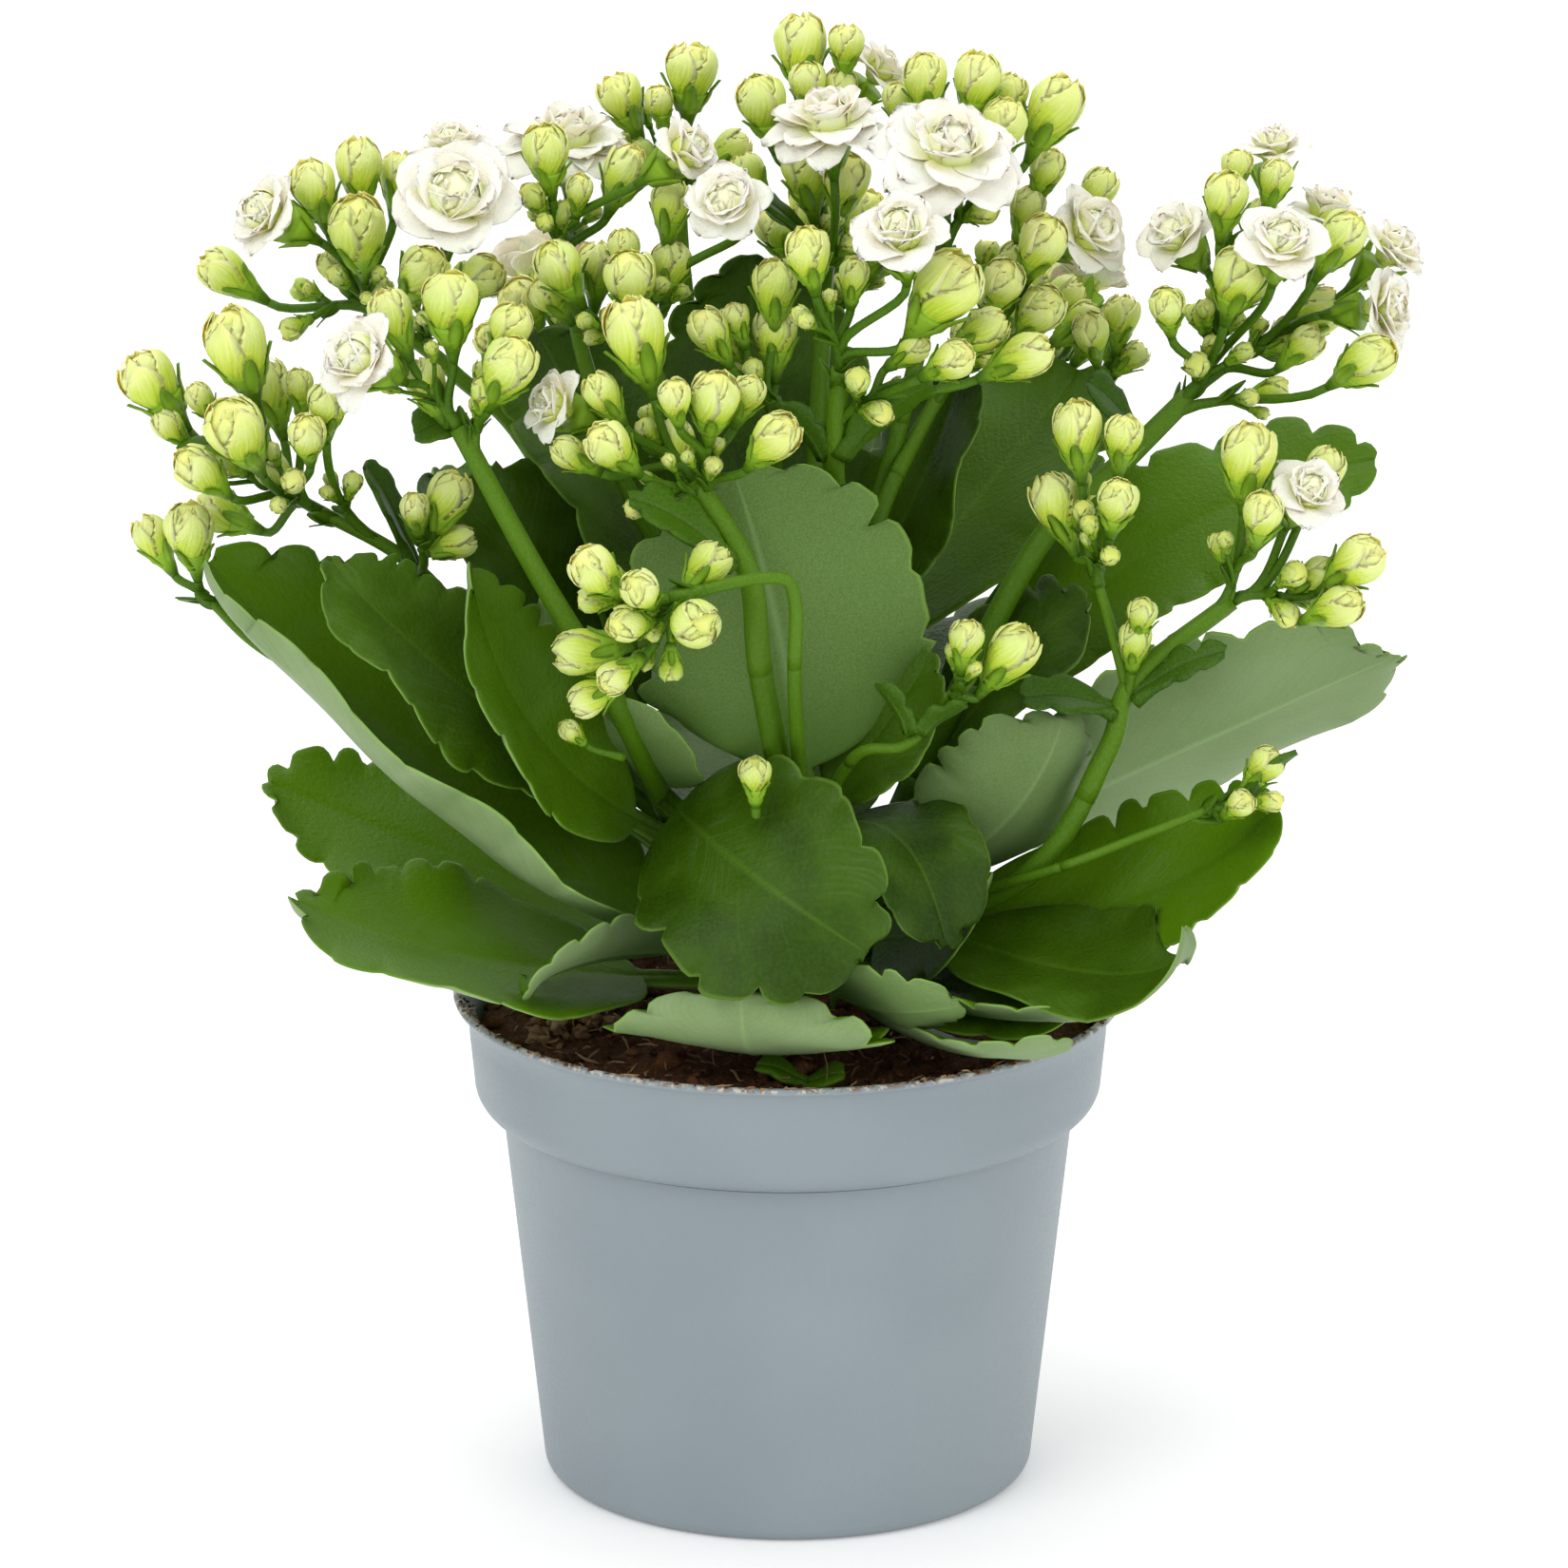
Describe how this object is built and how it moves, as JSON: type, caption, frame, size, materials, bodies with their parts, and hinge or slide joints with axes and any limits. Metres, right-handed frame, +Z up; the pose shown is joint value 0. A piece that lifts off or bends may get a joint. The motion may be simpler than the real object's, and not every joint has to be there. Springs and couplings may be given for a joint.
{
  "type": "potted flowering houseplant",
  "caption": "Compact double-flowered kalanchoe in a round plastic nursery pot: scalloped fleshy leaves under clusters of pale buds and white layered blooms.",
  "frame": {"origin": "centre of the pot's underside", "axes": "+Z up along the pot's axis, -Y towards the front of the plant, +X to its right as seen from the front"},
  "size_m": [0.2004, 0.1347, 0.2303],
  "materials": {
    "pot_plastic": "smooth blue-grey moulded plastic, satin, slightly dusty at the rim",
    "potting_soil": null,
    "leaf_green": "thick smooth leaf with a soft waxy gloss, pale grey-green beneath",
    "bud_green": "smooth pale yellow-green buds on fresh green stalks",
    "petal_white": "soft satin white petals, cream towards the heart"
  },
  "bodies": {
    "root": {"bloom_back_left_1": "petal_white", "bloom_back_middle_1": "petal_white", "bloom_back_right_1": "petal_white", "bloom_crown_1": "petal_white", "bloom_crown_2": "petal_white", "bloom_crown_right_1": "petal_white", "bloom_front_right_1": "petal_white", "bloom_inner_left_1": "petal_white", "bloom_left_front_1": "petal_white", "bloom_left_upper_1": "petal_white", "bloom_left_upper_2": "petal_white", "bloom_left_upper_3": "petal_white", "bloom_middle_left_1": "petal_white", "bloom_middle_right_1": "petal_white", "bloom_right_front_1": "petal_white", "bloom_right_outer_1": "petal_white", "bloom_right_outer_2": "petal_white", "bloom_right_outer_3": "petal_white", "bloom_right_outer_4": "petal_white", "bloom_right_outer_5": "petal_white", "bloom_right_outer_6": "petal_white", "bloom_top_left_1": "petal_white", "bloom_top_left_2": "petal_white", "leafy_stem_back": "leaf_green", "leafy_stem_centre": "leaf_green", "leafy_stem_front": "leaf_green", "leafy_stem_left": "leaf_green", "leafy_stem_right": "leaf_green", "pot": "pot_plastic", "potting_soil": "potting_soil", "spray_back_left": "bud_green", "spray_back_middle": "bud_green", "spray_back_right": "bud_green", "spray_crown": "bud_green", "spray_crown_left": "bud_green", "spray_crown_right": "bud_green", "spray_front_hook": "bud_green", "spray_front_right": "bud_green", "spray_front_twig": "bud_green", "spray_inner_left": "bud_green", "spray_left_front": "bud_green", "spray_left_low": "bud_green", "spray_left_outer": "bud_green", "spray_left_upper": "bud_green", "spray_middle_left": "bud_green", "spray_middle_right": "bud_green", "spray_right_front": "bud_green", "spray_right_low": "bud_green", "spray_right_outer": "bud_green", "spray_top_left": "bud_green", "spray_top_left_back": "bud_green"}
  },
  "joints": []
}
